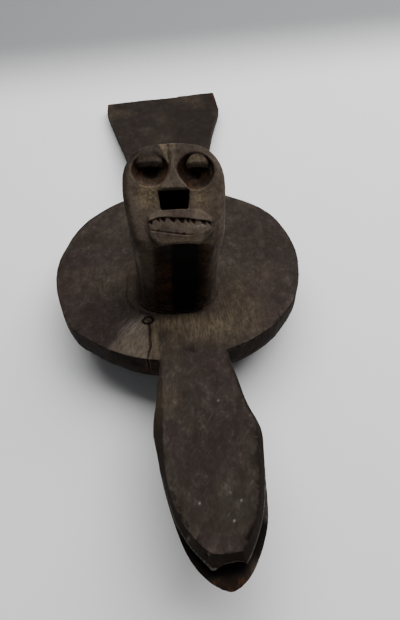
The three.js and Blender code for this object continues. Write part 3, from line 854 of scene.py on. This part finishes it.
    # Bare wood and painted light lighten the neck's outer edges towards the top.
    tan += neck_front * (0.3 * smooth(-27, -31, x) + 0.2 * smooth(-16, -20, x)) * smooth(20, 60, qz)
    red += 0.75 * neck_front * between(x, -20, -16, -7, -3) * smooth(76, 40, qz)
    red += 0.6 * neck_front * between(x, 12, 16, 21, 27)
    # Painted shade blackens the neck's front, most in its middle and just under the chin.
    soot_and_painted_shade += neck_front * between(x, -7, -3, 12, 16) * smooth(-2, 6, qz)
    soot_and_painted_shade += 0.5 * neck_front * between(x, 11, 14, 17, 20) * smooth(6, 30, qz)
    soot_and_painted_shade += 0.5 * neck_front * between(x, -17, -14, -7, -4) * smooth(50, 76, qz)
    # Painted shade darkens the head's left side, away from the lamp.
    painted_shade_and_dark_tone += 0.45 * on_head * (x < -24) * smooth(-0.3, -1.5, h) * smooth(1, 8, s)
    # A painted reflection lightens the head's right side.
    scraped_and_painted_highlight += 0.3 * on_head * (x > 26) * smooth(-1.5, -4, h) * smooth(-10, 0, s)

    # The plate is scraped beside the crack and tan before the neck, and no dirt lies at the neck's foot.
    patch = smooth(-1.2, 1.4, inside_of(SCRAPED_PATCH, px, py) + 1.6 * fine + 1.2 * soft)
    tan += top * (0.26 * patch + spots(px, py, PLATE_TAN) + 0.12 * smooth(0.1, 0.8, noise(p, 24, 23)))
    tan += 0.5 * top * spot(px, py, 12, -80, 24, 15) * (py > -103 + 2 * soft)
    scraped_and_painted_highlight += top * (0.2 * patch + 0.5 * spot(px, py, -48, -72, 10, 8))
    right_side = 0.1 * smooth(30, 72, px) * smooth(-95, -60, py)
    painted_shade_and_dark_tone += top * (right_side + 0.35 * spot(px, py, -16, -100, 13, 11)) * (py < 110)
    knot = oval_distance(px, py, KNOT)
    crack = np.exp(-(crack_distance(p) / 1.5) ** 2) * (py < -70) * (py > -116) * (qz < 3)
    red += crack * smooth(-26, -8, pz) + 0.8 * (knot < 1.35) * (np.abs(pz) < 6)
    red += 0.6 * (pz < -3) * (pz > -28) * spot(px, py, -34, -108, 8, 8)
    soot_and_painted_shade += 0.85 * (np.abs(pz) < 6) * np.exp(-((knot - 1) / 0.32) ** 2)
    seam = smooth(7, 4, qz) * (np.abs(x) < 55) * smooth(-24, -20, qy) * (qy < 75) * (pz > -3)
    hollow = np.clip(-bulge / 0.22, 0, 1) * (1 - 0.9 * seam) * (1 - 0.8 * crack)

    # Painted shade darkens the lower jaw inside, under the upper jaw, and the bill's faces that turn down
    # towards the tip, with red wood in the middle of the lip and a bare cut at its right.
    jaw_inside = (pz < -9) * (py < -232) * (nz > -0.3)
    lip = jaw_inside * smooth(-256, -261, py) * smooth(-13, -8, px)
    bare = jaw_inside * spot(px, py, 18.5, -257, 4, 6)
    red += lip + spots(px, py, TAIL_RED)
    tan += 0.15 * bare
    soot_and_painted_shade += 0.35 * lip + 0.9 * jaw_inside * (1 - lip) * (1 - np.clip(1.3 * bare, 0, 1))
    soot_and_painted_shade += (pz < -6.5) * (py < -190) * smooth(0.2, -0.6, nz) * (pz > -14)

    # Painted shade darkens the upper jaw's sloping facets, more on the right, and a painted highlight runs
    # along its lower edge near the tip; it has pale nicks, and the tail is in deeper tone.
    facet = (py < -100) * (pz > -9) * smooth(0.96, 0.9, nz) * (nz > 0.1)
    painted_shade_and_dark_tone += facet * (0.7 + 0.2 * (px > 0) + 0.12 * smooth(-236, -248, py))
    painted_shade_and_dark_tone += 0.48 * smooth(110, 190, py) + 0.25 * smooth(-30, 60, px) * (py > 190)
    drop = np.interp(-py, (196, 256), (6, 8))
    jaw_edge = smooth(0.8, 0.2, np.abs(pz + drop - 0.3)) * (np.abs(px - 5) > 8.5) * (nz > -0.4)
    scraped_and_painted_highlight += 0.5 * (py < -198) * jaw_edge
    for nick_x, nick_y in NICKS:
        scraped_and_painted_highlight += 0.9 * (pz > -7) * spot(px, py, nick_x + 0.5 * fine, nick_y + 0.5 * soft, 0.75, 0.75)

    for name, value in zip(MASKS, (dust, tan, red, soot_and_painted_shade, worn, hollow, handled_and_painted_light, painted_shade_and_dark_tone, scraped_and_painted_highlight)):
        data = np.clip(value, 0, 1).astype(np.float32)
        mesh.attributes.new(name, "FLOAT", "POINT").data.foreach_set("value", data)


# Materials

def linear(code):
    """An sRGB hex colour as linear RGBA."""
    parts = [int(code[i:i + 2], 16) / 255 for i in (0, 2, 4)]
    return tuple(c / 12.92 if c <= 0.04045 else ((c + 0.055) / 1.055) ** 2.4 for c in parts) + (1.0,)


def add(nodes, kind, feeds=None, **settings):
    """Adds one node, sets its properties or its inputs by name, and feeds other inputs with an output, a
    value or a hex colour."""
    node = nodes.nodes.new(kind)
    for key, value in settings.items():
        if hasattr(node, key):
            setattr(node, key, value)
        else:
            node.inputs[key.replace("_", " ")].default_value = value
    for key, value in (feeds or {}).items():
        if isinstance(value, bpy.types.NodeSocket):
            nodes.links.new(value, node.inputs[key])
        else:
            node.inputs[key].default_value = linear(value) if isinstance(value, str) else value
    return node


def new_material(name):
    material = bpy.data.materials.new(name)
    material.use_nodes = True
    material.node_tree.nodes.clear()
    return material, material.node_tree


def patina_wood():
    """Old smoked hardwood, hand-carved and unvarnished. Handling and smoke have made it nearly black-brown;
    pale dust lies greyish on what faces up, bare tan wood shows where the skin has worn off, and painted
    shade and painted light darken and lighten it where the masks put them."""
    material, tree = new_material("smoked_carved_hardwood")
    place = add(tree, "ShaderNodeTexCoord").outputs["Object"]

    def pattern(size, detail, turn=0.0):
        """A noise with real sizes in millimetres across the grain, along it and upwards."""
        spun = add(tree, "ShaderNodeVectorRotate", {"Vector": place}, rotation_type="Z_AXIS", Angle=turn)
        per_metre = tuple(1 / (mm * MM) for mm in size)
        scaled = add(tree, "ShaderNodeVectorMath", {0: spun.outputs[0], 1: per_metre}, operation="MULTIPLY")
        return add(tree, "ShaderNodeTexNoise", {"Vector": scaled.outputs[0]}, Scale=1.0,
                   Detail=detail, Roughness=0.6).outputs["Fac"]

    def combine(a, b, operation="MULTIPLY"):
        return add(tree, "ShaderNodeMath", {0: a, 1: b}, operation=operation).outputs[0]

    def band(source, low, high, to_low=0.0, to_high=1.0):
        return add(tree, "ShaderNodeMapRange", {"Value": source}, From_Min=low, From_Max=high, To_Min=to_low,
                   To_Max=to_high, interpolation_type="SMOOTHSTEP").outputs[0]

    def mixed(share, a, b):
        return add(tree, "ShaderNodeMix", {0: share, 6: a, 7: b}, data_type="RGBA").outputs[2]

    def layered(colour, *layers):
        for share, over in layers:
            colour = mixed(share, colour, over)
        return colour

    dust, tan, red, soot_and_painted_shade, worn, hollow, handled_and_painted_light, painted_shade_and_dark_tone, scraped_and_painted_highlight = (
        add(tree, "ShaderNodeAttribute", attribute_name=name).outputs["Fac"] for name in MASKS)
    cloud = pattern((46, 60, 46), 2.0)
    stain = pattern((21, 30, 21), 3.0, 0.3)
    mottle = pattern((7, 10, 7), 4.0)
    fine = pattern((2.2, 3.2, 2.2), 3.0)
    grain = pattern((1.2, 22, 1.2), 3.0)
    rub = pattern((1.0, 13, 3), 1.0, 0.7)
    rough = combine(combine(mottle, 0.6), combine(fine, 0.4), "ADD")
    skin = mixed(band(rough, 0.35, 0.65), "150e0a", "241a14")
    dusty = layered(
        mixed(band(cloud, 0.38, 0.62), "35302a", "372e2c"),
        (band(stain, 0.42, 0.66, 0.0, 0.7), "2b2420"), (band(rough, 0.38, 0.62, 0.55, 0.0), "1d1613"),
        (band(rough, 0.54, 0.70, 0.0, 0.38), "564d46"), (band(rub, 0.66, 0.78, 0.0, 0.22), "6b6258"))
    palm_and_painted_light = mixed(band(rough, 0.36, 0.64), "3e352e", "564c43")
    palm_and_painted_light = mixed(band(rub, 0.62, 0.76, 0.0, 0.3), palm_and_painted_light, "6f655b")
    bare = mixed(band(grain, 0.38, 0.66), "5e5240", "80715b")
    russet = mixed(band(rough, 0.4, 0.62), "1b0f08", "432b19")
    colour = layered(
        skin, (dust, dusty), (handled_and_painted_light, palm_and_painted_light), (painted_shade_and_dark_tone, "1b1512"),
        (combine(tan, band(rough, 0.30, 0.62, 0.5, 1.0)), bare), (combine(red, 0.92), russet),
        (combine(worn, band(fine, 0.35, 0.6, 0.1, 0.6)), "6b6158"),
        (combine(scraped_and_painted_highlight, band(rub, 0.44, 0.6, 0.25, 0.8)), "8a837b"),
        (combine(hollow, 0.6), "120d0a"), (soot_and_painted_shade, "060403"))

    relief = combine(combine(grain, 0.5), rough, "ADD")
    bump = add(tree, "ShaderNodeBump", {"Height": relief}, Strength=0.7, Distance=0.0009)
    shader = add(tree, "ShaderNodeBsdfPrincipled", {"Base Color": colour, "Normal": bump.outputs[0]},
                 Roughness=0.78, Specular_IOR_Level=0.09)
    add(tree, "ShaderNodeOutputMaterial", {"Surface": shader.outputs[0]})
    return material


def studio_paper():
    """Matt seamless paper: near white round the carving, and greyed by painted shade towards the back."""
    material, tree = new_material("matt_seamless_paper")
    place = add(tree, "ShaderNodeTexCoord").outputs["Object"]
    back = add(tree, "ShaderNodeSeparateXYZ", {"Vector": place}).outputs["Y"]
    share = add(tree, "ShaderNodeMapRange", {"Value": back}, From_Min=PAPER_SHADE_SPAN[0],
                From_Max=PAPER_SHADE_SPAN[1], interpolation_type="SMOOTHSTEP").outputs[0]
    colour = add(tree, "ShaderNodeMix", {0: share, 6: "f4f5f7", 7: "8c8d90"}, data_type="RGBA")
    shader = add(tree, "ShaderNodeBsdfPrincipled", {"Base Color": colour.outputs[2]}, Roughness=0.9,
                 Specular_IOR_Level=0.2)
    add(tree, "ShaderNodeOutputMaterial", {"Surface": shader.outputs[0]})
    return material


# Camera and light

def camera():
    """The photograph's viewing angle: looking down at the carving, a little to the right, and turned a
    little about the line of sight."""
    aimed = turned("Z", -VIEW_YAW) @ turned("X", math.pi / 2 - VIEW_PITCH)
    turn = TILT_BASIS @ aimed @ turned("Z", -VIEW_ROLL)
    place = to_world(np.array([VIEW_PLACE]))[0]
    data = bpy.data.cameras.new("camera")
    data.sensor_fit = "VERTICAL"
    data.sensor_height = 24.0
    data.lens = FOCUS_PIXELS / HEIGHT_PIXELS * data.sensor_height
    data.clip_start = 0.01
    data.clip_end = 50.0
    eye = bpy.data.objects.new("camera", data)
    eye.matrix_world = Matrix.Translation(Vector(place)) @ Matrix(turn.tolist()).to_4x4()
    bpy.context.scene.collection.objects.link(eye)
    bpy.context.scene.camera = eye


def light_panel():
    """One broad soft panel above, behind the tail and a little to the right."""
    data = bpy.data.lights.new("sky_panel", "AREA")
    data.shape = "RECTANGLE"
    data.size, data.size_y = PANEL_SIZE
    data.energy = PANEL_POWER
    data.color = (1.0, 0.99, 0.97)
    lamp = bpy.data.objects.new("sky_panel", data)
    place = Vector(PANEL_PLACE)
    turn = (place - Vector(PANEL_AIM)).to_track_quat("Z", "Y").to_matrix().to_4x4()
    lamp.matrix_world = Matrix.Translation(place) @ turn
    bpy.context.scene.collection.objects.link(lamp)


def studio():
    """A pale floor that curves up into a wall behind, as a studio sweep does, the light panel and an even
    pale surround. The floor's profile is a straight line, a quarter circle and an upright line."""
    bend = np.linspace(0, math.pi / 2, 24)
    bend_x = SWEEP_FROM + SWEEP_RADIUS * np.sin(bend)
    bend_z = SWEEP_RADIUS * (1 - np.cos(bend))
    along = np.concatenate([np.linspace(-FLOOR_REACH, FLOOR_BACK, 30), bend_x, np.full(10, bend_x[-1])])
    height = np.concatenate([np.zeros(30), bend_z, np.linspace(0.3, FLOOR_REACH, 10)])
    x, y = np.meshgrid(np.linspace(-FLOOR_REACH, FLOOR_REACH, 12), along)
    grid = np.stack([x, y, height[:, None] + 0 * x], axis=-1)
    index = np.arange(x.size).reshape(x.shape)
    a, b, c, d = index[:-1, :-1], index[:-1, 1:], index[1:, 1:], index[1:, :-1]
    triangles = np.concatenate([np.stack(three, -1).reshape(-1, 3) for three in ((a, b, c), (a, c, d))])
    floor = mesh_of("studio_floor", grid.reshape(-1, 3), triangles)
    floor.data.polygons.foreach_set("use_smooth", np.ones(len(floor.data.polygons), bool))
    floor.data.materials.append(studio_paper())
    world = bpy.data.worlds.new("surround")
    world.use_nodes = True
    background = world.node_tree.nodes["Background"]
    background.inputs[0].default_value = linear("e6e7ea")
    background.inputs[1].default_value = SURROUND_STRENGTH
    bpy.context.scene.world = world
    light_panel()


camera()
studio()
mask = carved_mask()
mask.data.materials.append(patina_wood())
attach(mask, "root")
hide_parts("mask")
